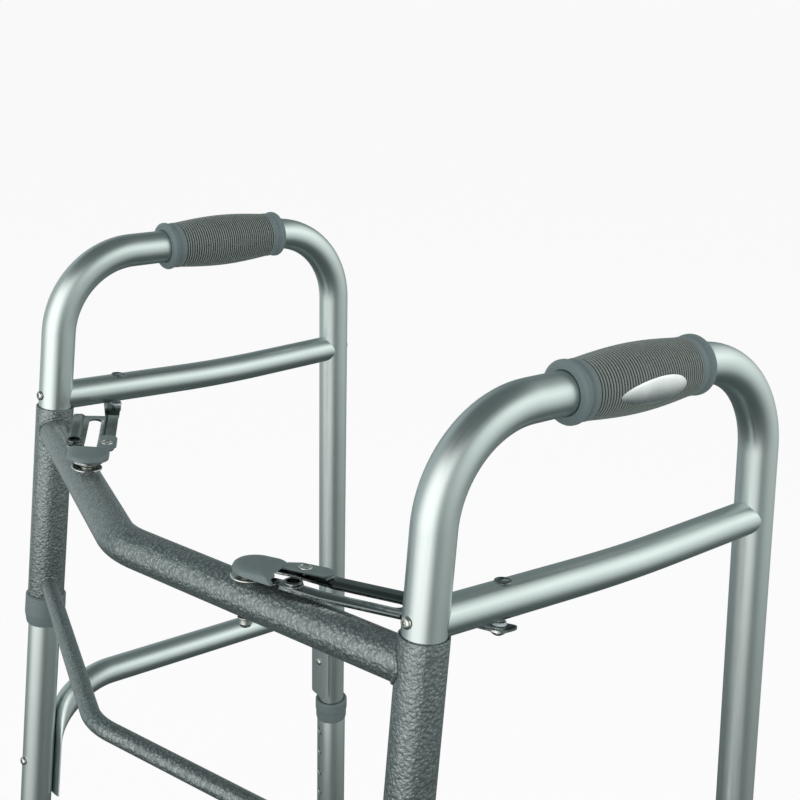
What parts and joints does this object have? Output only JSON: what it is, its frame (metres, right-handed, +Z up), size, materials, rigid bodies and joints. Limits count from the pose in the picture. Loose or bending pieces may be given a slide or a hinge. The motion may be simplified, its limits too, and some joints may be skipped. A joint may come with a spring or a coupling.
{
  "type": "two-wheeled walker",
  "caption": "Folding tubular walker with side frames hinged to a front frame, release paddles, wheels at the front and rubber tips at the rear.",
  "frame": {"origin": "on the floor, at the middle of the walker's bounding box", "axes": "+X towards the user's left, +Y towards the user (from the wheels to the rubber tips), +Z up"},
  "size_m": [0.5918, 0.443, 0.8175],
  "materials": {
    "silver_tube": "satin anodised",
    "hammered_paint": "dark hammered enamel",
    "grip_rubber": "soft ribbed vinyl",
    "grey_plastic": "moulded, satin",
    "arm_steel": "glossy dark plated steel",
    "bright_steel": "bright plated",
    "pale_nylon": "pale moulded nylon",
    "tyre_rubber": "matte solid rubber",
    "wheel_plastic": "moulded, satin",
    "tip_rubber": "matte"
  },
  "bodies": {
    "front_frame": {"crossbar": "hammered_paint", "lower_bar": "hammered_paint", "left_sleeve": "hammered_paint", "right_sleeve": "hammered_paint", "left_crossbar_stud": "bright_steel", "right_crossbar_stud": "bright_steel"},
    "left_side": {"left_side_tube": "silver_tube", "left_upper_brace": "silver_tube", "left_lower_brace": "silver_tube", "left_grip": "grip_rubber", "left_sleeve_collar": "grey_plastic", "left_pivot_bolt": "bright_steel", "left_pivot_spacer": "pale_nylon", "left_brace_front_screw": "bright_steel", "left_brace_rear_screw": "bright_steel", "left_brace_front_rivet": "bright_steel", "left_brace_rear_rivet": "bright_steel"},
    "left_arm_body": {"left_arm": "arm_steel", "left_arm_eyelet": "bright_steel", "left_paddle_rivet": "bright_steel"},
    "left_stud_body": {"left_slot_stud": "bright_steel"},
    "left_paddle_body": {"left_release_paddle": "grey_plastic"},
    "left_front_leg": {"left_front_extension": "silver_tube", "left_front_collar": "grey_plastic", "left_axle_bolt": "bright_steel", "left_axle_nut": "bright_steel"},
    "left_wheel": {"left_tyre": "tyre_rubber", "left_wheel_hub": "wheel_plastic"},
    "left_rear_leg": {"left_rear_extension": "silver_tube", "left_rear_collar": "grey_plastic", "left_rubber_tip": "tip_rubber"},
    "left_front_snap": {"left_front_button": "bright_steel"},
    "left_rear_snap": {"left_rear_button": "bright_steel"},
    "right_side": {"right_side_tube": "silver_tube", "right_upper_brace": "silver_tube", "right_lower_brace": "silver_tube", "right_grip": "grip_rubber", "right_sleeve_collar": "grey_plastic", "right_pivot_bolt": "bright_steel", "right_pivot_spacer": "pale_nylon", "right_brace_front_screw": "bright_steel", "right_brace_rear_screw": "bright_steel", "right_brace_front_rivet": "bright_steel", "right_brace_rear_rivet": "bright_steel"},
    "right_arm_body": {"right_arm": "arm_steel", "right_arm_eyelet": "bright_steel", "right_paddle_rivet": "bright_steel"},
    "right_stud_body": {"right_slot_stud": "bright_steel"},
    "right_paddle_body": {"right_release_paddle": "grey_plastic"},
    "right_front_leg": {"right_front_extension": "silver_tube", "right_front_collar": "grey_plastic", "right_axle_bolt": "bright_steel", "right_axle_nut": "bright_steel"},
    "right_wheel": {"right_tyre": "tyre_rubber", "right_wheel_hub": "wheel_plastic"},
    "right_rear_leg": {"right_rear_extension": "silver_tube", "right_rear_collar": "grey_plastic", "right_rubber_tip": "tip_rubber"},
    "right_front_snap": {"right_front_button": "bright_steel"},
    "right_rear_snap": {"right_rear_button": "bright_steel"}
  },
  "joints": [
    {"name": "left_fold", "type": "hinge", "parent": "front_frame", "child": "left_side", "pos_m": [0.224, -0.1076, 0.68], "axis": [-0.0362, 0.0813, 0.996], "range_deg": [0, 84]},
    {"name": "left_arm_swing", "type": "hinge", "parent": "left_side", "child": "left_arm_body", "pos_m": [0.22561, -0.05431, 0.67571], "axis": [0.0362, -0.0813, -0.996], "range_deg": [0, 93.56]},
    {"name": "left_stud_travel", "type": "slide", "parent": "left_arm_body", "child": "left_stud_body", "axis": [0.8664, 0.4992, -0.0093], "range_m": [0, 0.0716]},
    {"name": "left_paddle_press", "type": "hinge", "parent": "left_arm_body", "child": "left_paddle_body", "pos_m": [0.13151, -0.12202, 0.69207], "axis": [0.498, -0.8627, 0.0885], "range_deg": [0, 4], "stiffness_Nm_per_rad": 1, "springref_deg": -5.73},
    {"name": "left_front_height", "type": "slide", "parent": "left_side", "child": "left_front_leg", "axis": [0.0362, -0.0813, -0.996], "range_m": [0, 0.15289]},
    {"name": "left_rear_height", "type": "slide", "parent": "left_side", "child": "left_rear_leg", "axis": [0.0398, 0.05, -0.998], "range_m": [0, 0.1526]},
    {"name": "left_wheel_spin", "type": "hinge", "parent": "left_front_leg", "child": "left_wheel", "pos_m": [0.24639, -0.15795, 0.0635], "axis": [1, 0, 0], "continuous": true},
    {"name": "left_front_snap_press", "type": "slide", "parent": "left_side", "child": "left_front_snap", "axis": [0.0301, 0.9963, -0.0803], "range_m": [0, 0.0028], "stiffness_N_per_m": 1500, "springref_m": -0.003},
    {"name": "left_rear_snap_press", "type": "slide", "parent": "left_side", "child": "left_rear_snap", "axis": [0.0251, 0.9984, 0.051], "range_m": [0, 0.0028], "stiffness_N_per_m": 1500, "springref_m": -0.003},
    {"name": "right_fold", "type": "hinge", "parent": "front_frame", "child": "right_side", "pos_m": [-0.224, -0.1076, 0.68], "axis": [-0.0362, -0.0813, -0.996], "range_deg": [0, 68]},
    {"name": "right_arm_swing", "type": "hinge", "parent": "right_side", "child": "right_arm_body", "pos_m": [-0.22561, -0.05431, 0.67571], "axis": [0.0362, 0.0813, 0.996], "range_deg": [0, 69.66]},
    {"name": "right_stud_travel", "type": "slide", "parent": "right_arm_body", "child": "right_stud_body", "axis": [-0.8664, 0.4992, -0.0093], "range_m": [0, 0.0602]},
    {"name": "right_paddle_press", "type": "hinge", "parent": "right_arm_body", "child": "right_paddle_body", "pos_m": [-0.13151, -0.12202, 0.69207], "axis": [0.498, 0.8627, -0.0885], "range_deg": [0, 4], "stiffness_Nm_per_rad": 1, "springref_deg": -5.73},
    {"name": "right_front_height", "type": "slide", "parent": "right_side", "child": "right_front_leg", "axis": [-0.0362, -0.0813, -0.996], "range_m": [0, 0.15289]},
    {"name": "right_rear_height", "type": "slide", "parent": "right_side", "child": "right_rear_leg", "axis": [-0.0398, 0.05, -0.998], "range_m": [0, 0.1526]},
    {"name": "right_wheel_spin", "type": "hinge", "parent": "right_front_leg", "child": "right_wheel", "pos_m": [-0.24639, -0.15795, 0.0635], "axis": [1, 0, 0], "continuous": true},
    {"name": "right_front_snap_press", "type": "slide", "parent": "right_side", "child": "right_front_snap", "axis": [-0.0301, 0.9963, -0.0803], "range_m": [0, 0.0028], "stiffness_N_per_m": 1500, "springref_m": -0.003},
    {"name": "right_rear_snap_press", "type": "slide", "parent": "right_side", "child": "right_rear_snap", "axis": [-0.0251, 0.9984, 0.051], "range_m": [0, 0.0028], "stiffness_N_per_m": 1500, "springref_m": -0.003}
  ],
  "couplings": [
    {"joint": "left_arm_swing", "follows": "left_fold", "ratio": 1.1133},
    {"joint": "left_stud_travel", "follows": "left_fold", "m_per_rad": 0.048769},
    {"joint": "right_arm_swing", "follows": "right_fold", "ratio": 1.0237},
    {"joint": "right_stud_travel", "follows": "right_fold", "m_per_rad": 0.050639}
  ]
}
